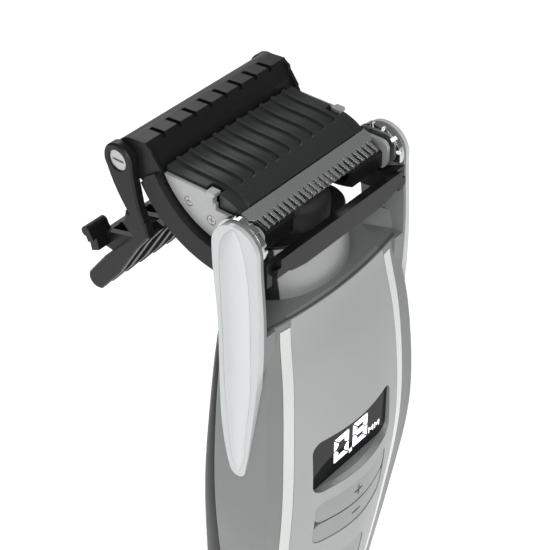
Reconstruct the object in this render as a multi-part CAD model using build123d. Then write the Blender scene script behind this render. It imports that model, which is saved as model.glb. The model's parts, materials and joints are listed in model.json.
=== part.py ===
from build123d import *
import math
import os

# Beard trimmer with a tilting head, a swinging comb carriage and a flip-over comb.
# Millimetres, +Z up, front (display) towards -Y, origin on the base face below the head's tilt axis.

# ---- heights ---------------------------------------------------------------
HEAD_Z = 156.0          # height of the blade line
DECK_Z = HEAD_Z - 24.5  # flat deck between the yoke arms
BASE_CAP_H = 9.0

# ---- body ------------------------------------------------------------------
WALL = 1.8
SPLIT_Y = 5.0           # seam between the side panels and the rear cover
PANEL_GAP = 0.12
STRIP_W = 3.1
STRIP_DROP = 1.6        # the trim strips end this far below the deck
# height, half width at the crease, crease y, front y, back y, fullness of the front's shoulders
BODY_KEYS = [
    (0.0, 20.0, -1.8, -6.0, 20.6, 0.5),
    (26.0, 21.6, -3.8, -9.0, 20.8, 0.3),
    (54.0, 24.6, -7.4, -13.6, 19.2, 0.1),
    (82.0, 26.9, -10.3, -15.9, 16.0, 0.0),
    (108.0, 25.8, -9.5, -13.7, 12.6, 0.4),
    (DECK_Z, 22.6, -6.7, -9.0, 10.6, 1.0),
]
SECTIONS = 12
# height, inner edge of the trim strip
STRIP_EDGE = [(0.0, 13.6), (36.0, 16.6), (66.0, 18.9), (96.0, 19.0), (113.0, 17.9), (DECK_Z, 16.0)]

# ---- display and buttons ---------------------------------------------------
WINDOW_Z = HEAD_Z - 65.6
WINDOW_W = 28.6
WINDOW_H = 14.8
WINDOW_R = 2.8
GLASS_Y = -12.2         # flat glass, recessed below the bowed front
GLASS_T = 1.2
PLUS_Z = HEAD_Z - 79.9
MINUS_Z = HEAD_Z - 86.8
KEY_H = 6.4
KEY_W = 26.0
POWER_Z = HEAD_Z - 105.5
POWER_W = 12.0
POWER_H = 14.0
KEY_GAP = 0.14
KEY_TRAVEL = 0.6

# ---- yoke and tilt axis ----------------------------------------------------
TILT_Y = 0.0
TILT_Z = -5.0           # below the blade line
ARM_IN = 23.75
ARM_MID = 24.6
ARM_OUT = 25.9
ARM_R = 5.9
PIN_R = 1.8
FIT = 0.05

# ---- head ------------------------------------------------------------------
DRUM_Y = 3.1
DRUM_Z = 11.4
DRUM_R = 20.1
PLATE_IN = 20.6
PLATE_OUT = 21.5
COVER_HALF = 20.4
COVER_FRONT = 1.85
COVER_BACK = 21.2
RIBS = 9
RIB_PITCH = 3.8
TEETH = 23
TOOTH_PITCH = 1.65

# ---- drive line ------------------------------------------------------------
NECK_Y = 4.4
NECK_TOP = HEAD_Z - 12.6
MOTOR_R = 6.0
ECCENTRIC = 0.9

# ---- comb carriage ---------------------------------------------------------
RAIL_IN = 20.8
RAIL_OUT = 26.1
RAIL_DEPTH = 2.0
SIDE_IN = 21.8
SIDE_OUT = 23.35

# ---- comb ------------------------------------------------------------------
COMB_Y = 31.0
COMB_Z = 2.8
COMB_IN = 22.65
COMB_OUT = 24.8
EAR_OUT = 22.5          # outer face of the carriage beside the comb
HUB_R = 3.9
PIN_HEAD_R = 2.4
FINS = 10
FIN_PITCH = 4.5
HINGE_R = 1.5

os.makedirs("parts", exist_ok=True)


def save(shape, node):
    export_step(shape, f"parts/{node}.step")


def smooth(table, z, column):
    """Read one column of a (height, value, ...) table along a smooth curve."""
    last = len(table) - 1
    index = max(i for i in range(last) if table[i][0] <= z or i == 0)
    before, low, high, after = (table[min(max(i, 0), last)] for i in range(index - 1, index + 3))
    step = high[0] - low[0]
    t = (z - low[0]) / step
    slope_low = (high[column] - before[column]) / (high[0] - before[0]) * step
    slope_high = (after[column] - low[column]) / (after[0] - low[0]) * step
    return ((2 * t**3 - 3 * t**2 + 1) * low[column] + (t**3 - 2 * t**2 + t) * slope_low
            + (3 * t**2 - 2 * t**3) * high[column] + (t**3 - t**2) * slope_high)


STATIONS = []
for number in range(SECTIONS):
    level = DECK_Z * number / (SECTIONS - 1)
    STATIONS.append((level, *(smooth(BODY_KEYS, level, column) for column in range(1, 6))))


def yz_slab(sketch, x0, x1):
    """Extrude a profile drawn in y and height above the blade line from x0 to x1."""
    return extrude(Plane.YZ.offset(x0) * Pos(0, HEAD_Z) * sketch, x1 - x0, dir=(1, 0, 0))


def disc(y, z, r):
    return Pos(y, z) * Circle(r)


def region(*points):
    return make_face(Polyline(*points, close=True))


def box(x0, x1, y0, y1, z0, z1):
    return Pos((x0 + x1) / 2, (y0 + y1) / 2, (z0 + z1) / 2) * Box(x1 - x0, y1 - y0, z1 - z0)


def x_rod(y, z, r, x0, x1):
    """Round bar along X, its height given above the blade line."""
    return yz_slab(disc(y, z, r), x0, x1)


def mirrored(shape):
    return mirror(shape, Plane.YZ)


def section(station, inset):
    """Body outline at one height: shallow front, two gently bowed sides and the round back."""
    z, half, crease_y, front_y, back_y, fullness = station
    half -= inset
    crease_y += inset * 0.8
    front_y += inset
    back_y -= inset
    wide = half - 0.5
    bow = half + 0.5
    middle = (crease_y + SPLIT_Y) / 2
    depth = back_y - SPLIT_Y
    shoulder_y = crease_y + fullness * (front_y - crease_y)
    crown_y = (8 * front_y - crease_y - 4 * shoulder_y) / 3
    full_y = SPLIT_Y + 0.62 * depth
    outline = [
        Bezier((-half, crease_y, z), (-half / 2, shoulder_y, z), (0, crown_y, z), (half / 2, shoulder_y, z),
               (half, crease_y, z)),
        Bezier((half, crease_y, z), (bow, middle, z), (wide, SPLIT_Y, z)),
        Bezier((wide, SPLIT_Y, z), (wide, full_y, z), (0.56 * wide, back_y, z), (0, back_y, z)),
        Bezier((0, back_y, z), (-0.56 * wide, back_y, z), (-wide, full_y, z), (-wide, SPLIT_Y, z)),
        Bezier((-wide, SPLIT_Y, z), (-bow, middle, z), (-half, crease_y, z)),
    ]
    return Face(Wire(outline))


def body_solid(inset, stations):
    return loft([section(station, inset) for station in stations])


def front_prism(edge_offset, y0=-40.0, y1=1.0):
    """Upright block whose sides follow the trim strips, edge_offset outside their inner edge."""
    right = Spline(*[(x + edge_offset, z) for z, x in STRIP_EDGE])
    left = Spline(*[(-x - edge_offset, z) for z, x in STRIP_EDGE])
    top = Line((STRIP_EDGE[-1][1] + edge_offset, DECK_Z), (-STRIP_EDGE[-1][1] - edge_offset, DECK_Z))
    low = Line((STRIP_EDGE[0][1] + edge_offset, 0.0), (-STRIP_EDGE[0][1] - edge_offset, 0.0))
    face = make_face([right, left, top, low])
    return extrude(Plane.XZ.offset(-y1) * face, y1 - y0)


def rounded_opening(width, height, radius, z, y0, y1):
    sketch = RectangleRounded(width, height, radius)
    return extrude(Plane.XZ.offset(-y1) * Pos(0, z) * sketch, y1 - y0)


# ---- body shells -----------------------------------------------------------
outer = body_solid(0.0, STATIONS)
hollow = body_solid(WALL, STATIONS)
wall = outer - hollow
inner = hollow & box(-40, 40, -40, 40, BASE_CAP_H, DECK_Z - 2.2)
shell = outer - inner
above_base = box(-40, 40, -40, 40, BASE_CAP_H, HEAD_Z)
below_strip_top = box(-40, 40, -40, 40, 0, DECK_Z - STRIP_DROP)


def arm_outline():
    """Side outline of a yoke arm: round end near the tilt axis, tapering down to a small rounded foot."""
    middle = TILT_Y - 0.9
    front = middle - ARM_R
    back = middle + ARM_R
    foot_back = (-0.25, -61.7)
    foot_front = (-4.45, -61.4)
    return make_face([
        ThreePointArc((front, TILT_Z), (middle, TILT_Z + ARM_R), (back, TILT_Z)),
        Spline((back, TILT_Z), (3.6, -22.0), (2.6, -42.0), foot_back, tangents=[(0, -1), (-0.35, -1)]),
        ThreePointArc(foot_back, (-2.35, -63.4), foot_front),
        Spline(foot_front, (-6.1, -50.0), (-7.4, -34.0), (-7.5, -18.0), (front, TILT_Z),
               tangents=[(-0.2, 1), (0, 1)]),
    ])


def lens(z, back, front, edge, bulge):
    """Horizontal slice of the arm's leaf-shaped inlay."""
    level = HEAD_Z + z
    middle = (back + front) / 2
    return Face(Wire([
        ThreePointArc((edge, back, level), (edge + bulge, middle, level), (edge, front, level)),
        Line((edge, front, level), (edge, back, level)),
    ]))


# height above the blade line, back y, front y, edge x, bulge
LEAF = [
    (0.3, 0.6, -2.0, 25.3, 0.3),
    (-2.6, 3.0, -3.4, 25.5, 0.8),
    (-8.0, 3.9, -4.8, 25.6, 1.3),
    (-18.0, 3.4, -5.6, 25.8, 1.5),
    (-32.0, 2.4, -6.1, 26.3, 1.6),
    (-46.0, 1.2, -5.5, 26.85, 1.4),
    (-56.0, 0.0, -4.5, 27.15, 1.0),
    (-60.2, -1.0, -3.7, 27.2, 0.6),
    (-61.9, -2.0, -2.8, 27.15, 0.3),
]

arm_sketch = arm_outline()


shaft_hole = Pos(0, NECK_Y, DECK_Z) * extrude(Ellipse(7.0, 4.0), 12, both=True)


def make_main_shell():
    """Side panels, deck and the inner half of both yoke arms in one moulding."""
    body = shell & above_base & box(-40, 40, -40, SPLIT_Y, 0, HEAD_Z)
    body -= (front_prism(STRIP_W) & below_strip_top) & wall
    body -= front_prism(PANEL_GAP) & wall
    core = yz_slab(arm_sketch & region((-20, 5), (20, 5), (20, -45), (-20, -45)), ARM_IN, ARM_MID)
    root_zone = region((-20, -24.5), (20, -24.5), (20, -45), (-20, -45))
    root = yz_slab(arm_sketch & root_zone, 20.9, ARM_MID) - inner
    pin_hole = x_rod(TILT_Y, TILT_Z, PIN_R, ARM_IN - 1, ARM_MID - 0.1)
    foot = loft([
        Pos(0, 0, DECK_Z - 0.5) * Polygon((20.6, 1.5), (23.9, -5.4), (23.9, 2.6), (21.4, 2.6), align=None),
        Pos(0, 0, DECK_Z + 4.4) * Polygon((22.4, 1.5), (23.9, -4.4), (23.9, 2.0), (22.8, 2.0), align=None),
    ])
    arm = core + root + foot - pin_hole
    body = body + arm + mirrored(arm)
    body -= shaft_hole
    for piece in (arm_cover, arm_inlay):
        body = body - piece - mirrored(piece)
    return body.solids().sort_by(SortBy.VOLUME)[-1]


def make_arm_cover():
    """White outer half of a yoke arm, its face leaning out with the body, with a pocket for the inlay."""
    leaning = extrude(Plane.XZ * Polygon(
        (ARM_MID, HEAD_Z + 4), (ARM_OUT - 0.3, HEAD_Z + 4), (ARM_OUT, HEAD_Z - 20), (27.0, HEAD_Z - 48),
        (27.3, HEAD_Z - 66), (ARM_MID, HEAD_Z - 66), align=None), 20, both=True)
    return (yz_slab(arm_sketch, ARM_MID, 30) & leaning) - arm_inlay


def leaf_solid():
    return loft([lens(z, back, front, edge - 0.6, bulge + 0.6) for z, back, front, edge, bulge in LEAF])


arm_inlay = leaf_solid()
arm_cover = make_arm_cover()
main_shell = make_main_shell()

front_panel = wall & front_prism(0.0) & above_base
window_cut = rounded_opening(WINDOW_W, WINDOW_H, WINDOW_R, WINDOW_Z, -30, 0)
key_low = MINUS_Z - KEY_H / 2
key_high = PLUS_Z + KEY_H / 2
keys_h = key_high - key_low + 2 * KEY_GAP
keys_cut = rounded_opening(KEY_W + 2 * KEY_GAP, keys_h, 2.4, (key_low + key_high) / 2, -30, 0)
power_cut = rounded_opening(POWER_W + 2 * KEY_GAP, POWER_H + 2 * KEY_GAP, 3.2, POWER_Z, -30, 0)
front_panel = front_panel - window_cut - keys_cut - power_cut

strip_zone = box(-40, 40, -40, 40, BASE_CAP_H, DECK_Z - STRIP_DROP - PANEL_GAP)
strip_band = (front_prism(STRIP_W - PANEL_GAP) - front_prism(PANEL_GAP)) & wall & strip_zone
strips = sorted(strip_band.solids(), key=lambda s: s.center().X)

rear_cover = (shell & above_base & box(-40, 40, SPLIT_Y + PANEL_GAP, 40, 0, DECK_Z)) - shaft_hole
screw_spots = [(-10.0, 26.0), (10.0, 26.0), (-9.0, 120.0), (9.0, 120.0)]


def y_rod(x, z, r, y0, y1):
    """Round bar along Y between two depths."""
    return extrude(Plane.XZ.offset(-y1) * Pos(x, z) * Circle(r), y1 - y0)


case_screws = []
for x, z in screw_spots:
    seat = smooth(BODY_KEYS, z, 4) - 4.2
    boss = y_rod(x, z, 3.4, seat - 2.6, seat + 2.6) & outer
    rear_cover = (rear_cover + boss) - y_rod(x, z, 2.3, seat, 40) - y_rod(x, z, 1.2, 0, 40)
    slot = box(x - 1.5, x + 1.5, seat + 1.0, seat + 2.0, z - 0.25, z + 0.25)
    cross = box(x - 0.25, x + 0.25, seat + 1.0, seat + 2.0, z - 1.5, z + 1.5)
    screw = y_rod(x, z, 2.1, seat, seat + 1.5) + y_rod(x, z, 1.1, seat - 4.0, seat)
    case_screws.append(screw - slot - cross)

# Grip ribs across the lower back.
grip_skin = outer - body_solid(0.5, STATIONS)
for index in range(9):
    z = 46.0 + 6.0 * index
    groove = rounded_opening(22.0, 1.6, 0.75, z, 8, 30)
    rear_cover -= grip_skin & groove

base_cap = (outer & box(-40, 40, -40, 40, 0, BASE_CAP_H)) - box(-13, 13, 1.0, 15.0, 5.0, BASE_CAP_H)
SOCKET_Y = 8.0
base_cap -= Pos(0, SOCKET_Y, 0) * extrude(Circle(3.9), BASE_CAP_H)
charge_socket = Pos(0, SOCKET_Y, 1.2) * extrude(Circle(3.85), 12.0)
charge_socket -= Pos(0, SOCKET_Y, 1.2) * extrude(Circle(2.8), 9.5)
charge_socket += Pos(0, SOCKET_Y, 3.0) * extrude(Circle(0.65), 8.0)

save(main_shell, "main_shell")
save(arm_cover, "arm_cover_right")
save(mirrored(arm_cover), "arm_cover_left")
save(arm_inlay, "arm_inlay_right")
save(mirrored(arm_inlay), "arm_inlay_left")
save(front_panel, "front_panel")
save(strips[0], "trim_strip_left")
save(strips[-1], "trim_strip_right")
save(rear_cover, "rear_cover")
save(Compound(children=case_screws), "case_screws")
save(base_cap, "base_cap")
save(charge_socket, "charge_socket")

# ---- display ---------------------------------------------------------------
glass_back = GLASS_Y + GLASS_T
BEZEL_W = 1.4           # width of the frame behind the panel that holds the glass
GLASS_FIT = 0.1
glass_w = WINDOW_W - GLASS_FIT
glass_h = WINDOW_H - GLASS_FIT
display_window = rounded_opening(glass_w, glass_h, WINDOW_R, WINDOW_Z, GLASS_Y, glass_back)
display_panel = rounded_opening(glass_w, glass_h, WINDOW_R, WINDOW_Z, glass_back, glass_back + 1.0)
bezel_block = rounded_opening(
    WINDOW_W + 2 * BEZEL_W, WINDOW_H + 2 * BEZEL_W, WINDOW_R + BEZEL_W, WINDOW_Z, -30, glass_back + 1.0)
window_bezel = (bezel_block & hollow) - window_cut

key_skin = body_solid(0.15, STATIONS) - body_solid(1.7, STATIONS)


def key_solid(width, height, z, radius):
    """Key cap that follows the front face."""
    return key_skin & rounded_opening(width, height, radius, z, -30, 0)


def plus_mark(z):
    bar = box(-1.5, 1.5, -30, 0, z - 0.3, z + 0.3)
    post = box(-0.3, 0.3, -30, 0, z - 1.5, z + 1.5)
    return bar + post


mark_depth = outer - body_solid(0.4, STATIONS)
plus_button = key_solid(KEY_W, KEY_H, PLUS_Z, 2.0) - (plus_mark(PLUS_Z) & mark_depth)
minus_mark = box(-1.5, 1.5, -30, 0, MINUS_Z - 0.3, MINUS_Z + 0.3)
minus_button = key_solid(KEY_W, KEY_H, MINUS_Z, 2.0) - (minus_mark & mark_depth)
power_button = key_solid(POWER_W, POWER_H, POWER_Z, 3.0)
power_ring = extrude(Plane.XZ * Pos(0, POWER_Z) * (Circle(2.4) - Circle(1.8)), 30)
power_bar = box(-0.3, 0.3, -30, 0, POWER_Z + 0.6, POWER_Z + 3.2)
power_button -= (power_ring + power_bar) & mark_depth

save(display_window, "display_window")
save(window_bezel, "window_bezel")
save(display_panel, "display_panel")
save(plus_button, "plus_button")
save(minus_button, "minus_button")
save(power_button, "power_button")

# ---- inside the body -------------------------------------------------------
BOARD_Y = -5.6
BATTERY_Y = 7.4


def z_rod(x, y, r, z0, z1):
    return Pos(x, y, z0) * extrude(Circle(r), z1 - z0)


circuit_board = box(-12, 12, BOARD_Y, BOARD_Y + 1.4, 44.0, 98.0)
switch_posts = []
for z in (PLUS_Z, MINUS_Z, POWER_Z):
    reach = smooth(BODY_KEYS, z, 3) + 1.7 + KEY_TRAVEL + 0.4
    switch_posts.append(box(-1.8, 1.8, min(reach, BOARD_Y - 0.8), BOARD_Y, z - 1.8, z + 1.8))
battery = z_rod(0, BATTERY_Y, 7.1, 18.0, 68.0) + z_rod(0, BATTERY_Y, 2.6, 68.0, 69.2)
cutting_motor = z_rod(0, NECK_Y, MOTOR_R, 78.0, 108.0) + z_rod(0, NECK_Y, 3.0, 108.0, 109.6)
cutting_motor -= z_rod(0, NECK_Y, 1.05, 100.0, 112.0)
comb_motor = z_rod(-13.5, 3.4, 4.6, 84.0, 106.0) + z_rod(-13.5, 3.4, 3.6, 106.0, 112.0)
motor_mount = box(-19, 19, -4.0, 7.0, 112.6, 115.0) - z_rod(0, NECK_Y, 3.6, 110.0, 120.0)
motor_mount &= body_solid(WALL + 0.15, STATIONS)

save(circuit_board, "circuit_board")
save(Compound(children=switch_posts), "key_switches")
save(battery, "battery")
save(cutting_motor, "cutting_motor")
save(comb_motor, "comb_gearmotor")
save(motor_mount, "motor_mount")

# ---- neck ------------------------------------------------------------------
neck_solid = loft([
    Pos(0, NECK_Y, DECK_Z) * Face(Wire(Ellipse(15.4, 10.4).edges())),
    Pos(0, NECK_Y, DECK_Z + 6.5) * Face(Wire(Ellipse(14.6, 9.6).edges())),
    Pos(0, NECK_Y + 0.2, NECK_TOP) * Face(Wire(Ellipse(14.2, 9.0).edges())),
])
bore = Pos(0, NECK_Y, DECK_Z) * extrude(Ellipse(9.4, 7.4), NECK_TOP - DECK_Z - 1.6)
neck_well = z_rod(0, NECK_Y, 5.3, NECK_TOP - 3, NECK_TOP + 3)
SILVER_EDGE = 12.2
silver_zone = box(-SILVER_EDGE, SILVER_EDGE, -20, 0.6, DECK_Z, HEAD_Z)
neck_shell = (neck_solid & silver_zone) - bore - neck_well
dark_cut = box(-SILVER_EDGE - 0.1, SILVER_EDGE + 0.1, -20, 0.7, DECK_Z, HEAD_Z)
neck_core = neck_solid - dark_cut - bore - neck_well
save(neck_shell, "neck_front")
save(neck_core, "neck_back")

# Dark seal that follows the front edge of the deck.
SEAL_H = 0.35
SEAL_W = 0.55
seal_section = (DECK_Z, 22.55, -6.65, -8.95, 10.0, 1.0)
seal_band = extrude(section(seal_section, 0.0), SEAL_H, dir=(0, 0, 1))
seal_band -= extrude(section(seal_section, SEAL_W), SEAL_H, dir=(0, 0, 1))
deck_gasket = seal_band & box(-21.9, 21.9, -40, -2.0, DECK_Z, DECK_Z + SEAL_H)
save(deck_gasket, "deck_gasket")

# Rubber boot around the drive pin, bellows outside.
boot_profile = make_face([
    Polyline((2.4, -14.9), (5.2, -14.9), (5.2, -12.5), (7.8, -12.5), (7.8, -8.0)),
    ThreePointArc((7.8, -8.0), (7.0, -5.8), (5.0, -4.9)),
    Polyline((5.0, -4.9), (2.4, -4.8), (2.4, -5.8), (4.5, -6.0), (6.3, -8.2), (6.3, -11.3)),
    Polyline((6.3, -11.3), (2.4, -11.3), (2.4, -14.9)),
])
drive_boot = Pos(0, NECK_Y, HEAD_Z) * revolve(Plane.XZ * boot_profile, Axis.Z)
flange = Pos(0, NECK_Y + 0.2, NECK_TOP + 0.1) * extrude(Ellipse(13.8, 8.7), 0.4, dir=(0, 0, 1))
drive_boot += flange - z_rod(0, NECK_Y, 7.0, NECK_TOP, NECK_TOP + 1)
save(drive_boot, "drive_boot")

# ---- drive shaft -----------------------------------------------------------
drive_shaft = z_rod(0, NECK_Y, 1.0, 101.0, HEAD_Z - 9.0)
drive_shaft += z_rod(0, NECK_Y, 2.2, HEAD_Z - 10.4, HEAD_Z - 8.4)
drive_shaft += z_rod(0, NECK_Y - ECCENTRIC, 0.8, HEAD_Z - 8.4, HEAD_Z - 4.6)
save(drive_shaft, "drive_shaft")

# ---- pivots in the yoke ----------------------------------------------------
def pivot_ring():
    """Notched chrome crown on the arm's inner face, cut away below for the carriage."""
    crown = disc(TILT_Y - 0.6, TILT_Z, 6.2) - disc(TILT_Y - 0.6, TILT_Z, 4.6)
    ring = yz_slab(crown, ARM_IN - 1.5, ARM_IN)
    for step in range(12):
        angle = math.radians(30 * step + 15)
        y = TILT_Y - 0.6 + 5.9 * math.cos(angle)
        z = TILT_Z + 5.9 * math.sin(angle)
        notch = Pos(y, z) * Rot(0, 0, math.degrees(angle)) * Rectangle(1.2, 0.9)
        ring -= yz_slab(notch, ARM_IN - 1.6, ARM_IN - 0.6)
    keep = region((-9, -6.2), (9, -6.2), (9, 4), (-9, 4))
    return ring & yz_slab(keep, ARM_IN - 2, ARM_IN)


pivot_pin = x_rod(TILT_Y, TILT_Z, PIN_R, PLATE_IN - 0.4, ARM_MID - 0.1)
save(pivot_ring(), "pivot_ring_right")
save(mirrored(pivot_ring()), "pivot_ring_left")
save(Compound(children=[pivot_pin, mirrored(pivot_pin)]), "pivot_pins")

# ---- head ------------------------------------------------------------------
plate_zone = region(
    (-4.6, -0.9), (7.4, -0.9), (7.4, 0.6), (8.4, 0.6), (8.4, 2.3), (21.0, 2.3), (24, -20), (-4.6, -20))
plate_sketch = disc(DRUM_Y, DRUM_Z, DRUM_R) & plate_zone
plate_sketch -= disc(TILT_Y, TILT_Z, PIN_R + FIT)
rivet_spots = [(14.6, -1.8), (8.6, -3.9)]
side_plate = yz_slab(plate_sketch, PLATE_IN, PLATE_OUT)
side_plate = fillet(side_plate.edges().filter_by(Axis.X).sort_by(Axis.Y)[:2], 2.0)
for y, z in rivet_spots:
    side_plate -= x_rod(y, z, 1.15, PLATE_OUT - 0.35, PLATE_OUT + 1)
rivets = []
for y, z in rivet_spots:
    head = x_rod(y, z, 1.0, PLATE_OUT - 0.35, PLATE_OUT - 0.05)
    cross = Rectangle(1.3, 0.25) + Rectangle(0.25, 1.3)
    head -= yz_slab(Pos(y, z) * cross, PLATE_OUT - 0.2, PLATE_OUT)
    rivets += [head, mirrored(head)]
save(side_plate, "side_plate_right")
save(mirrored(side_plate), "side_plate_left")
save(Compound(children=rivets), "plate_screws")

hook = yz_slab(Pos(8.7, 1.2) * Rectangle(1.3, 3.0), PLATE_OUT - 1.2, PLATE_OUT + 0.1)
hook += yz_slab(Pos(8.7, 2.4) * Rectangle(2.2, 0.8), PLATE_OUT - 1.9, PLATE_OUT + 0.1)
hook -= side_plate
hook = hook.solids().sort_by(SortBy.VOLUME)[-1]
save(Compound(children=[hook, mirrored(hook)]), "comb_catches")

COVER_LINE = [(COVER_FRONT, 0.6), (6.2, 2.8), (12.0, 3.4), (COVER_BACK, 4.1)]


def cover_top(drop):
    """Top line of the ribbed cover in side view, lowered by drop."""
    return Spline(*[(y, z - drop) for y, z in COVER_LINE])


def under_top(drop, floor):
    """Everything between the cover's lowered top line and a flat floor."""
    return make_face([
        cover_top(drop),
        Polyline((COVER_BACK, COVER_LINE[-1][1] - drop), (COVER_BACK, floor), (COVER_FRONT, floor),
                 (COVER_FRONT, COVER_LINE[0][1] - drop)),
    ])


cover_body = yz_slab(under_top(0.0, -0.6) & disc(DRUM_Y, DRUM_Z, DRUM_R), -COVER_HALF, COVER_HALF)
side_band = yz_slab(under_top(-6.0, -8.0) - under_top(0.55, -8.0), 17.6, COVER_HALF + 1)
cover_body = cover_body - side_band - mirrored(side_band)
rib_layer = yz_slab(under_top(-6.0, -8.0) - under_top(0.5, -8.0), -17.6, 17.6)
for index in range(RIBS):
    x = (index - (RIBS - 1) / 2) * RIB_PITCH
    slot = Pos(x, 17.4, HEAD_Z - 5) * extrude(Rotation(0, 0, 90) * SlotOverall(23.0, 2.8), 20)
    cover_body -= rib_layer & slot
clear_hook = box(18.4, 22, 7.2, 10.6, HEAD_Z - 5, HEAD_Z + 8)
cover_body = cover_body - clear_hook - mirrored(clear_hook)
save(cover_body, "ribbed_cover")

base_outline = region((-0.4, -2.4), (4.0, -2.4), (19.2, -1.4), (19.2, -0.7), (1.6, -0.7), (-0.4, -1.6))
base_plate = yz_slab(base_outline & disc(DRUM_Y, DRUM_Z, DRUM_R), -20.5, 20.5)
end_zone = region((-3.4, -2.4), (4.0, -2.4), (19.2, -1.4), (22, -20), (-3.4, -20))
end_block = disc(DRUM_Y, DRUM_Z, DRUM_R - 0.4) & end_zone
end_block -= disc(TILT_Y, TILT_Z, PIN_R + 0.3)
blocks = yz_slab(end_block, 10.0, 20.5)
blocks = blocks + mirrored(blocks)
head_base = base_plate + blocks
head_base -= box(-9.5, 9.5, -2.0, 12.0, HEAD_Z - 6, HEAD_Z - 0.6)
head_base -= yz_slab(region((3.2, -1.0), (3.2, 4.0), (-8, 4.0), (-8, -5.4), (1.9, -1.5)), -30, 30)
save(head_base, "head_base")

# ---- blades ----------------------------------------------------------------
BLADE_SLOPE = 22.0
BLADE_PLANE = Plane(origin=(0, 1.5, HEAD_Z + 0.3), x_dir=(1, 0, 0),
                    z_dir=(0, -math.sin(math.radians(BLADE_SLOPE)), math.cos(math.radians(BLADE_SLOPE))))


def blade_sketch(half_width, root, tip, back):
    """Flat toothed blade, its teeth pointing along -y of the blade plane."""
    plate = Polygon(
        (-half_width, back), (half_width, back), (half_width, root + 0.9), (half_width - 0.9, root),
        (-half_width + 0.9, root), (-half_width, root + 0.9), align=None)
    for index in range(TEETH):
        x = (index - (TEETH - 1) / 2) * TOOTH_PITCH
        tooth = [(x - 0.52, root + 0.2), (x + 0.52, root + 0.2), (x + 0.3, tip), (x - 0.3, tip)]
        plate += Polygon(*tooth, align=None)
    return plate


BLADE_T = 0.7
BLADE_GAP = 0.15
blade_up = BLADE_PLANE.z_dir
fixed_sketch = BLADE_PLANE * Pos(0, 0, -BLADE_T) * blade_sketch(20.4, -2.9, -5.7, 0.05)
fixed_blade = extrude(fixed_sketch, BLADE_T, dir=blade_up)
moving_sketch = BLADE_PLANE * Pos(0, 0, -2 * BLADE_T - BLADE_GAP) * blade_sketch(19.4, -3.1, -5.3, -0.2)
moving_blade = extrude(moving_sketch, BLADE_T, dir=blade_up)
yoke_block = yz_slab(region((-1.9, -3.4), (-1.9, -2.8), (0.6, -1.8), (1.4, -2.6), (1.4, -3.4)), -4.5, 4.5)
yoke_tail = box(-3.0, 3.0, 1.4, 6.6, HEAD_Z - 3.4, HEAD_Z - 2.6)
yoke_tail -= box(-0.9, 0.9, 3.0, 7.0, HEAD_Z - 4, HEAD_Z - 2)
save(fixed_blade, "fixed_blade")
save(moving_blade, "moving_blade")
save(yoke_block + yoke_tail, "blade_yoke")

# ---- comb carriage ---------------------------------------------------------
bar_outline = make_face([
    ThreePointArc((20.6, 0.2), (21.83, 2.4), (22.75, 4.6)),
    Line((22.75, 4.6), (25.0, 8.3)),
    Line((25.0, 8.3), (28.8, 8.0)),
    ThreePointArc((28.8, 8.0), (32.2, 6.3), (33.3, 3.0)),
    ThreePointArc((33.3, 3.0), (31.2, 0.2), (27.6, -0.6)),
    Line((27.6, -0.6), (20.6, 0.2)),
])
side_ring = disc(DRUM_Y, DRUM_Z, RAIL_OUT) - disc(DRUM_Y, DRUM_Z, RAIL_IN)
side_low = region((-7.4, -30), (-7.4, -4.0), (0, 0), (19, 2.0), (19.6, 5.0), (25, 8.0), (32, 4), (32, -30))
side_top = bar_outline + region((20.9, 3.0), (23.4, 6.4), (29.5, -0.1), (25.6, -1.4))
carriage_side = (side_ring & side_low) + side_top
carriage_side -= disc(DRUM_Y, DRUM_Z, RAIL_IN - 2.4) + disc(COMB_Y, COMB_Z, HINGE_R)
comb_zone = disc(COMB_Y, COMB_Z, HUB_R + 0.4)
comb_zone += region((25.2, -6.2), (26.0, -1.2), (24.6, 0.8), (19.0, 4.8), (19.0, 12), (40, 12), (40, -6.2))
outer_layer = (side_ring & side_low) - comb_zone
side_right = yz_slab(carriage_side, SIDE_IN, EAR_OUT) + yz_slab(outer_layer, EAR_OUT, SIDE_OUT)
rail_ring = disc(DRUM_Y, DRUM_Z, RAIL_IN + RAIL_DEPTH)
rail = (rail_ring - disc(DRUM_Y, DRUM_Z, RAIL_IN)) & region((-7.4, -30), (-7.4, -4), (22, 0), (22, -30))
side_right += yz_slab(rail, PLATE_IN, SIDE_IN)
save(side_right, "carriage_side_right")
save(mirrored(side_right), "carriage_side_left")

bar_inset = offset(bar_outline, amount=-0.7)
rear_bar = yz_slab(bar_outline, -SIDE_IN, SIDE_IN)
groove_skin = (bar_outline - bar_inset) & region((24.6, 6.0), (24.6, 14), (28.4, 14), (28.4, 6.0))
for index in range(8):
    x = (index - 3.5) * 4.9
    rear_bar -= yz_slab(groove_skin, x - 0.55, x + 0.55)
    rear_bar -= yz_slab(disc(25.2, 8.9, 1.5), x - 0.55, x + 0.55)
rear_bar -= x_rod(COMB_Y, COMB_Z, HINGE_R, 14.8, 30) + x_rod(COMB_Y, COMB_Z, HINGE_R, -30, -14.8)
save(rear_bar, "rear_bar")

bar_low = disc(DRUM_Y, DRUM_Z, RAIL_OUT - 0.2) - disc(DRUM_Y, DRUM_Z, RAIL_IN + 0.4)
cross_thin = bar_low & region((-8.8, -30), (-8.8, -4.4), (-5.3, -4.4), (-5.3, -30))
cross_end = cross_thin & region((-12, -10.2), (-12, 0), (0, 0), (0, -10.2))
crossbar = yz_slab(cross_end, -PLATE_IN, PLATE_IN) + yz_slab(cross_end - rail_ring, -SIDE_IN, SIDE_IN)
cross_mid = yz_slab(cross_thin, -17.5, 17.5)
belly = Pos(0, 0, HEAD_Z + 66.0) * Rotation(90, 0, 0) * Cylinder(78.6, 60)
crossbar += cross_mid & belly
save(crossbar, "front_crossbar")

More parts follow.
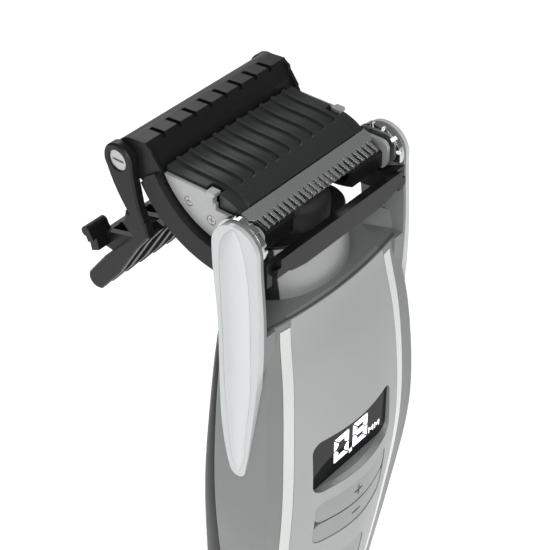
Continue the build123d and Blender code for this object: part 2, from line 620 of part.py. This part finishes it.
# ---- comb ------------------------------------------------------------------
EDGE = 0.4              # depth of the bevel round the arm's outer face
arm_reach = math.hypot(COMB_Y + HUB_R - DRUM_Y, COMB_Z - DRUM_Z)
arm_front = [(27.2, COMB_Z), (26.9, -0.5), (25.8, -6.7), (23.2, -13.5)]
arm_back = [(26.6, -16.1), (32.0, -9.7), (37, -9), (37, COMB_Z)]
comb_arm = disc(DRUM_Y, DRUM_Z, arm_reach) & region(*arm_front, *arm_back)
comb_arm += disc(COMB_Y, COMB_Z, HUB_R)
fin_outline = make_face([
    Polyline((23.4, -13.4), (26.0, -12.6), (31.5, -18.6), (36.6, -23.9), (41.8, -30.6)),
    ThreePointArc((41.8, -30.6), (41.6, -32.6), (38.2, -33.6)),
    Polyline((38.2, -33.6), (33.0, -27.4), (27.2, -18.2), (23.4, -13.4)),
])
link_outline = region(
    (30.6, -18.4), (39.2, -20.6), (41.2, -21.6), (40.6, -24.4), (37.6, -25.0), (32.6, -20.6))
fin_full = fin_outline + link_outline

comb_elbow = region((23.4, -13.4), (27.0, -15.8), (30.6, -12.6), (29.6, -9.0), (24.2, -10.0))
bevel_plane = Plane.YZ.offset(COMB_OUT - EDGE) * Pos(0, HEAD_Z)
comb = yz_slab(comb_arm + comb_elbow, COMB_IN, COMB_OUT - EDGE)
comb += yz_slab(fin_outline, COMB_OUT - 1.8, COMB_OUT - EDGE)
comb += extrude(bevel_plane * (comb_arm + comb_elbow), EDGE, dir=(1, 0, 0), taper=45)
comb += extrude(bevel_plane * fin_outline, EDGE, dir=(1, 0, 0), taper=45)
comb -= x_rod(COMB_Y, COMB_Z, HINGE_R + FIT, COMB_IN - 1, COMB_OUT + 1)
comb -= x_rod(COMB_Y, COMB_Z, PIN_HEAD_R + FIT, COMB_OUT - 1.0, COMB_OUT + 1)
comb = comb + mirrored(comb)
for index in range(FINS):
    x = (index - (FINS - 1) / 2) * FIN_PITCH
    comb += yz_slab(fin_full, x - 0.8, x + 0.8)
cross_half = COMB_OUT - EDGE
spine = yz_slab(region((24.6, -13.6), (27.2, -14.2), (29.0, -17.2), (26.8, -17.0)), -cross_half, cross_half)
rear_rail = yz_slab(region((39.0, -20.6), (41.2, -21.6), (40.6, -24.4), (38.4, -23.4)), -cross_half, cross_half)
comb = comb + spine + rear_rail
tab_foot = region((39.6, -21.3), (41.2, -22.3), (42.4, -19.4), (41.0, -19.1))
tab = yz_slab(disc(41.8, -19.8, 1.2) + tab_foot, 19.0, COMB_OUT)
comb = comb + tab + mirrored(tab)
save(comb, "comb")

hinge_pin = x_rod(COMB_Y, COMB_Z, HINGE_R, 15.0, COMB_OUT - 0.9)
hinge_pin += x_rod(COMB_Y, COMB_Z, PIN_HEAD_R, COMB_OUT - 0.95, COMB_OUT - 0.35)
hinge_pin -= yz_slab(Pos(COMB_Y, COMB_Z) * Rectangle(3.0, 0.5), COMB_OUT - 0.6, COMB_OUT)
save(Compound(children=[hinge_pin, mirrored(hinge_pin)]), "comb_hinge_pins")
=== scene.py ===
import json
import math

import bpy
import bmesh
from mathutils import Matrix, Vector


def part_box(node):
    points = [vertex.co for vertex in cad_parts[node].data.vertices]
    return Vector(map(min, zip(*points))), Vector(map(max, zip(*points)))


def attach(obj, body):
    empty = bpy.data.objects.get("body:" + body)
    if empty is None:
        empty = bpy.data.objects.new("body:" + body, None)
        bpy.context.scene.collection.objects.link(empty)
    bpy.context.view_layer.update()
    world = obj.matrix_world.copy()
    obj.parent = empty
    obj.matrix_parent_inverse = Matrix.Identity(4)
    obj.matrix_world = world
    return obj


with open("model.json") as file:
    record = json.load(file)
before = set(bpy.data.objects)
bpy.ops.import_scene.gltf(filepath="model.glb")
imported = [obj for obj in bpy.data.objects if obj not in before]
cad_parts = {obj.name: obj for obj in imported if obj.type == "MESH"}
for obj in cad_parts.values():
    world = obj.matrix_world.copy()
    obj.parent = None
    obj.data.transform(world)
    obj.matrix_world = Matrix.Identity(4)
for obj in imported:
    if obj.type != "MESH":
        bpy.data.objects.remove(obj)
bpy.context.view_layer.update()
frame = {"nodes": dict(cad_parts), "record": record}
nodes = frame["nodes"]

MM = 0.001
HEAD_Z = 156.0 * MM             # height of the blade over the floor

# Lit display: the digits 0 and 8 with a point between them, and the unit after them.
DIGIT_W = 5.5 * MM
DIGIT_H = 7.0 * MM
STROKE = 1.6 * MM
SEGMENT_GAP = 0.4 * MM
DIGIT_Z = HEAD_Z - 66.7 * MM
DIGIT_PLACES = (("0", -2.7 * MM), ("8", 4.3 * MM))
DOT_X = 0.85 * MM
DOT_Z = DIGIT_Z - DIGIT_H / 2 - 0.1 * MM
DOT_HALF = 0.55 * MM
LETTER_Z = HEAD_Z - 70.1 * MM
LETTER_PLACES = (7.6 * MM, 9.9 * MM)
LETTER_W = 1.9 * MM
LETTER_H = 1.7 * MM
LETTER_STEM = 0.38 * MM
DIGIT_LIFT = 0.02 * MM

# Painted plus and minus on the keys.
MARK_HALF = 1.42 * MM
MARK_THIN = 0.24 * MM
MARK_LIFT = 0.12 * MM

MARK_THICKNESS = 0.1 * MM       # of every lit or painted mark
RAY_START_Y = -0.1              # metres, in front of the whole object

# Studio.
FLOOR_SIZE = 6.0
FLOOR_GLOW = 0.42
SKY_COLOR = (0.95, 0.97, 1.0, 1.0)
SKY_STRENGTH = 0.2
LIGHT_TARGET = (0, 0, 0.11)
# name, place, (width, height), watts
LIGHTS = [
    ("key_light", (-0.9, -0.35, 0.45), (0.6, 0.7), 6.8),
    ("front_light", (-0.3, -0.95, 0.8), (0.8, 0.6), 4.5),
    ("rim_light", (0.5, 0.9, 0.7), (0.6, 0.6), 3.0),
    ("top_light", (-0.1, -0.2, 1.3), (1.2, 1.2), 5.0),
]

# Camera, aimed beside and below the middle of the blade.
AZIMUTH = math.radians(-51.3)
ELEVATION = math.radians(36.9)
ROLL = math.radians(0.33)
DISTANCE = 346.7 * MM
SIDE_SHIFT = 7.3935 * MM
UP_SHIFT = -20.8307 * MM
SENSOR_MM = 36.0
LENS_MM = 110.6182
NEAR_CLIP = 0.02


# ---- materials -------------------------------------------------------------
def new_material(name):
    material = bpy.data.materials.new(name)
    material.use_nodes = True
    tree = material.node_tree
    return material, tree, tree.nodes["Principled BSDF"]


def noise(tree, scale, detail=3.0, stretch=(1.0, 1.0, 1.0)):
    """Noise in object space; scale is features per metre."""
    coords = tree.nodes.new("ShaderNodeTexCoord")
    mapping = tree.nodes.new("ShaderNodeMapping")
    mapping.inputs["Scale"].default_value = stretch
    texture = tree.nodes.new("ShaderNodeTexNoise")
    texture.inputs["Scale"].default_value = scale
    texture.inputs["Detail"].default_value = detail
    tree.links.new(coords.outputs["Object"], mapping.inputs["Vector"])
    tree.links.new(mapping.outputs["Vector"], texture.inputs["Vector"])
    return texture.outputs["Fac"]


def spread(tree, source, low, high):
    """Map the middle of a noise's range to low..high."""
    node = tree.nodes.new("ShaderNodeMapRange")
    node.inputs["From Min"].default_value = 0.3
    node.inputs["From Max"].default_value = 0.7
    node.inputs["To Min"].default_value = low
    node.inputs["To Max"].default_value = high
    tree.links.new(source, node.inputs["Value"])
    return node.outputs["Result"]


def tint(tree, source, low, high):
    """Blend two colours by a value from 0 to 1."""
    node = tree.nodes.new("ShaderNodeMix")
    node.data_type = "RGBA"
    node.inputs["A"].default_value = (*low, 1.0)
    node.inputs["B"].default_value = (*high, 1.0)
    tree.links.new(source, node.inputs["Factor"])
    return node.outputs["Result"]


SLOW_SCALE = 60.0               # features per metre of the colour drift
COAT_ROUGHNESS = 0.08
BEVEL_SAMPLES = 4


def finish_material(name, color, rough, metallic=0.0, vary=0.06, rough_vary=0.06, grain=2500.0, bump=0.15,
                    bump_mm=0.02, stretch=(1.0, 1.0, 1.0), coat=0.0, edge_mm=0.15, specular=0.5):
    """A moulded, painted or ground surface with fine grain, slow colour drift and softened edges."""
    material, tree, shader = new_material(name)
    slow = spread(tree, noise(tree, SLOW_SCALE), 0.0, 1.0)
    low = tuple(c * (1 - vary) for c in color)
    high = tuple(min(c * (1 + vary), 1.0) for c in color)
    tree.links.new(tint(tree, slow, low, high), shader.inputs["Base Color"])
    fine = noise(tree, grain, 2.0, stretch)
    tree.links.new(spread(tree, fine, rough - rough_vary, rough + rough_vary), shader.inputs["Roughness"])
    shader.inputs["Metallic"].default_value = metallic
    shader.inputs["Specular IOR Level"].default_value = specular
    shader.inputs["Coat Weight"].default_value = coat
    shader.inputs["Coat Roughness"].default_value = COAT_ROUGHNESS
    soft = tree.nodes.new("ShaderNodeBevel")
    soft.samples = BEVEL_SAMPLES
    soft.inputs["Radius"].default_value = edge_mm * MM
    relief = tree.nodes.new("ShaderNodeBump")
    relief.inputs["Strength"].default_value = bump
    relief.inputs["Distance"].default_value = bump_mm * MM
    tree.links.new(fine, relief.inputs["Height"])
    tree.links.new(soft.outputs["Normal"], relief.inputs["Normal"])
    tree.links.new(relief.outputs["Normal"], shader.inputs["Normal"])
    return material


def glow_material(name, color, strength):
    """Lit display segments, slightly uneven along their length."""
    material, tree, shader = new_material(name)
    uneven = spread(tree, noise(tree, 900.0), 0.9, 1.0)
    dim = tuple(c * 0.9 for c in color)
    tree.links.new(tint(tree, uneven, dim, color), shader.inputs["Emission Color"])
    shader.inputs["Base Color"].default_value = (*color, 1.0)
    shader.inputs["Emission Strength"].default_value = strength
    shader.inputs["Roughness"].default_value = 0.4
    return material


METALLIC_PAINT = dict(rough=0.38, metallic=0.4, vary=0.015, grain=9000.0, bump=0.04, bump_mm=0.005)

# One finish for each material slot of the record.
FINISHES = {
    "silver_panel": dict(color=(0.33, 0.34, 0.335), **METALLIC_PAINT),
    "grey_shell": dict(color=(0.165, 0.176, 0.168), rough=0.34, vary=0.03, grain=6000.0, bump=0.05,
                       specular=0.4),
    "black_shell": dict(color=(0.012, 0.012, 0.013), rough=0.42, vary=0.1, grain=2600.0, bump=0.25,
                        specular=0.25),
    "black_comb": dict(color=(0.008, 0.008, 0.008), rough=0.36, vary=0.1, grain=4200.0, bump=0.12,
                       specular=0.24),
    "chrome_trim": dict(color=(0.6, 0.61, 0.59), rough=0.1, metallic=1.0, vary=0.02, rough_vary=0.03,
                        grain=800.0, bump=0.01),
    "white_arm": dict(color=(0.47, 0.48, 0.485), rough=0.24, vary=0.015, rough_vary=0.02, grain=1200.0,
                      bump=0.02, bump_mm=0.004, coat=0.3),
    "window": dict(color=(0.008, 0.008, 0.009), rough=0.06, vary=0.1, rough_vary=0.03, grain=500.0,
                   bump=0.01, specular=0.1),
    "display": dict(color=(0.01, 0.01, 0.01), rough=0.4),
    "silver_key": dict(color=(0.27, 0.285, 0.28), **METALLIC_PAINT),
    "blade_steel": dict(color=(0.6, 0.61, 0.6), rough=0.24, metallic=0.95, vary=0.02, grain=400.0,
                        rough_vary=0.02, bump=0.02, bump_mm=0.002, stretch=(1.0, 12.0, 12.0), edge_mm=0.1),
    "head_silver": dict(color=(0.4, 0.405, 0.4), rough=0.4, metallic=0.5, vary=0.02, grain=6000.0,
                        bump=0.06, bump_mm=0.008),
    "cover_grey": dict(color=(0.018, 0.0205, 0.02), rough=0.34, grain=5000.0, bump=0.1, edge_mm=0.25),
    "seal_rubber": dict(color=(0.02, 0.02, 0.02), rough=0.55, vary=0.12, grain=2400.0, bump=0.2,
                        specular=0.3),
    "seal_grey": dict(color=(0.09, 0.093, 0.09), rough=0.5, vary=0.08, grain=2400.0, bump=0.1,
                      specular=0.3),
    "steel": dict(color=(0.5, 0.5, 0.5), rough=0.3, metallic=1.0, vary=0.05, grain=1500.0, bump=0.1),
    "board_green": dict(color=(0.02, 0.1, 0.04), rough=0.35, grain=700.0),
    "cell_sleeve": dict(color=(0.03, 0.08, 0.2), rough=0.25, grain=700.0),
    "inner_white": dict(color=(0.5, 0.5, 0.48), rough=0.45, grain=2000.0),
}
materials = {name: finish_material(name, **finish) for name, finish in FINISHES.items()}

for part in frame["record"]["subparts"]:
    mesh = nodes[part["node"]].data
    mesh.materials.clear()
    mesh.materials.append(materials[part["material_slot"]])


# ---- printed and lit marks -------------------------------------------------
def front_depth(node, x, z):
    """Y of a node's front surface at x, z."""
    hit, place, _, _ = nodes[node].ray_cast(Vector((x, RAY_START_Y, z)), Vector((0, 1, 0)))
    return place.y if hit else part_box(node)[0].y


def marks(name, outlines, node, lift, material, body):
    """Thin closed plates that follow a node's front surface; outlines are lists of (x, z)."""
    work = bmesh.new()
    for outline in outlines:
        front = [work.verts.new((x, front_depth(node, x, z) - lift, z)) for x, z in outline]
        back = [work.verts.new((v.co.x, v.co.y + MARK_THICKNESS, v.co.z)) for v in front]
        work.faces.new(front)
        work.faces.new(list(reversed(back)))
        count = len(outline)
        for i in range(count):
            j = (i + 1) % count
            work.faces.new((front[j], front[i], back[i], back[j]))
    bmesh.ops.recalc_face_normals(work, faces=work.faces)
    mesh = bpy.data.meshes.new(name)
    work.to_mesh(mesh)
    work.free()
    mesh.materials.append(material)
    piece = bpy.data.objects.new(name, mesh)
    bpy.context.scene.collection.objects.link(piece)
    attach(piece, body)


def bar_outline(x, z, half_width, half_height):
    return [(x - half_width, z - half_height), (x + half_width, z - half_height),
            (x + half_width, z + half_height), (x - half_width, z + half_height)]


SEGMENTS = {"0": "abcdef", "8": "abcdefg"}


def digit_outlines(glyph, x, z, width, height, stroke, gap):
    """Seven-segment digit with mitred bars, centred on x, z; width and height are its outer size."""
    w, h, s, g = width / 2, height / 2, stroke, gap / 2
    top = [(-w + g, h), (w - g, h), (w - s - g, h - s), (-w + s + g, h - s)]
    upper_left = [(-w, h - g), (-w + s, h - s - g), (-w + s, s / 2 + g), (-w + s / 2, g), (-w, g)]
    middle = [(-w + s / 2 + g, 0), (-w + s + g, s / 2), (w - s - g, s / 2), (w - s / 2 - g, 0),
              (w - s - g, -s / 2), (-w + s + g, -s / 2)]
    bars = {
        "a": top,
        "b": [(-a, b) for a, b in upper_left],
        "c": [(-a, -b) for a, b in upper_left],
        "d": [(a, -b) for a, b in top],
        "e": [(a, -b) for a, b in upper_left],
        "f": upper_left,
        "g": middle,
    }
    return [[(x + a, z + b) for a, b in bars[key]] for key in SEGMENTS[glyph]]


def letter_m(x, z, width, height, stem):
    """Outline of a capital M with its lower left corner at x, z."""
    middle = x + width / 2
    top = z + height
    notch = z + 0.35 * height
    shoulder = top - 1.6 * stem
    return [(x, z), (x, top), (x + stem, top), (middle, notch + stem), (x + width - stem, top),
            (x + width, top), (x + width, z), (x + width - stem, z), (x + width - stem, shoulder),
            (middle, notch - stem / 2), (x + stem, shoulder), (x + stem, z)]


outlines = []
for glyph, digit_x in DIGIT_PLACES:
    outlines += digit_outlines(glyph, digit_x, DIGIT_Z, DIGIT_W, DIGIT_H, STROKE, SEGMENT_GAP)
outlines.append(bar_outline(DOT_X, DOT_Z, DOT_HALF, DOT_HALF))
for letter_x in LETTER_PLACES:
    outlines.append(letter_m(letter_x, LETTER_Z, LETTER_W, LETTER_H, LETTER_STEM))
white_glow = glow_material("lit_segments", (0.9, 0.92, 0.95), 0.9)
marks("display_digits", outlines, "display_window", DIGIT_LIFT, white_glow, "handle")

mark_paint = finish_material("mark_paint", (0.05, 0.055, 0.055), 0.5, grain=3000.0, bump=0.1)
for button, has_post in (("plus_button", True), ("minus_button", False)):
    low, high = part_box(button)
    mark_z = (low.z + high.z) / 2
    bars = [bar_outline(0, mark_z, MARK_HALF, MARK_THIN)]
    if has_post:
        arm = (MARK_HALF - MARK_THIN) / 2
        bars += [bar_outline(0, mark_z + side * (MARK_THIN + arm), MARK_THIN, arm) for side in (-1, 1)]
    marks(button + "_mark", bars, button, MARK_LIFT, mark_paint, button)


# ---- floor, light and camera ----------------------------------------------
floor_material = finish_material("floor", (0.9, 0.9, 0.9), 0.6, vary=0.005, grain=300.0, bump=0.02)
floor_shader = floor_material.node_tree.nodes["Principled BSDF"]
floor_shader.inputs["Emission Color"].default_value = (1.0, 1.0, 1.0, 1.0)
floor_shader.inputs["Emission Strength"].default_value = FLOOR_GLOW
bpy.ops.mesh.primitive_plane_add(size=FLOOR_SIZE, location=(0, 0, 0))
floor = bpy.context.object
floor.name = "floor"
floor.data.materials.append(floor_material)

for name, place, size, power in LIGHTS:
    data = bpy.data.lights.new(name, "AREA")
    data.shape = "RECTANGLE"
    data.size, data.size_y = size
    data.energy = power
    lamp = bpy.data.objects.new(name, data)
    lamp.location = place
    lamp.rotation_euler = (Vector(LIGHT_TARGET) - Vector(place)).to_track_quat("-Z", "Y").to_euler()
    bpy.context.scene.collection.objects.link(lamp)

world = bpy.data.worlds.new("studio")
bpy.context.scene.world = world
world.use_nodes = True
background = world.node_tree.nodes["Background"]
background.inputs["Color"].default_value = SKY_COLOR
background.inputs["Strength"].default_value = SKY_STRENGTH
bpy.context.scene.view_settings.view_transform = "Standard"

forward = Vector((-math.sin(AZIMUTH) * math.cos(ELEVATION), math.cos(AZIMUTH) * math.cos(ELEVATION),
                  -math.sin(ELEVATION)))
level_right = Vector((math.cos(AZIMUTH), math.sin(AZIMUTH), 0))
level_up = level_right.cross(forward)
right = math.cos(ROLL) * level_right + math.sin(ROLL) * level_up
up = -math.sin(ROLL) * level_right + math.cos(ROLL) * level_up
camera_data = bpy.data.cameras.new("camera")
camera_data.sensor_width = SENSOR_MM
camera_data.lens = LENS_MM
camera_data.clip_start = NEAR_CLIP
camera = bpy.data.objects.new("camera", camera_data)
camera_place = Vector((0, 0, HEAD_Z)) - DISTANCE * forward - SIDE_SHIFT * right + UP_SHIFT * up
turn = Matrix((right, up, -forward)).transposed()
camera.matrix_world = Matrix.Translation(camera_place) @ turn.to_4x4()
bpy.context.scene.collection.objects.link(camera)
bpy.context.scene.camera = camera
